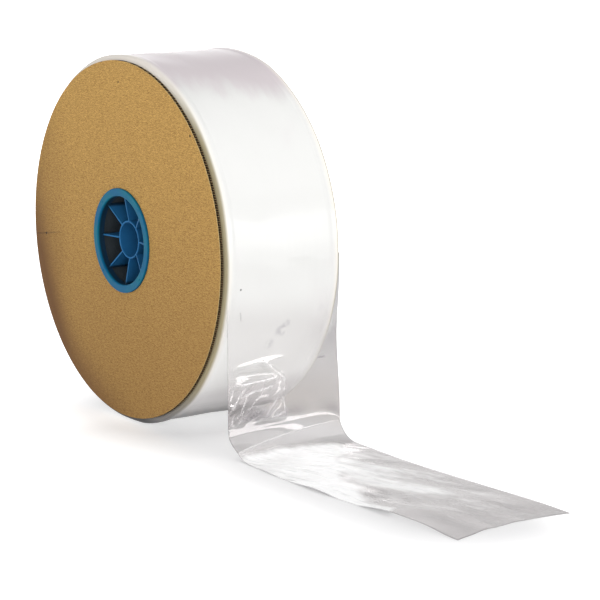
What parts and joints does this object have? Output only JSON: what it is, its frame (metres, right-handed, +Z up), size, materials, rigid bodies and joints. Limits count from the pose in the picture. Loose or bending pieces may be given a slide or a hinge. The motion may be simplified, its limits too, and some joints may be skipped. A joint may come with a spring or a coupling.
{
  "type": "roll of poly tubing",
  "caption": "Roll of clear lay-flat tubing on a paper core with corrugated end discs, ribbed core plugs and the free end of the film drawn out on the floor.",
  "frame": {"origin": "middle of the flat that the roll stands on, at floor level under the roll's axis", "axes": "+X from the roll's axis towards the cut end of the drawn-out film, +Y along the roll's axis towards the back disc, +Z up"},
  "size_m": [0.5885, 0.119, 0.3045],
  "materials": {
    "film": "clear glossy polyethylene, milky where it is wound",
    "paper_core": "matt wound paperboard",
    "disc_board": "matt kraft liner with a fine fleck",
    "plug_plastic": "satin moulded plastic"
  },
  "bodies": {
    "root": {"tubing": "film", "core_tube": "paper_core", "front_disc": "disc_board", "back_disc": "disc_board", "front_core_plug": "plug_plastic", "back_core_plug": "plug_plastic"}
  },
  "joints": []
}
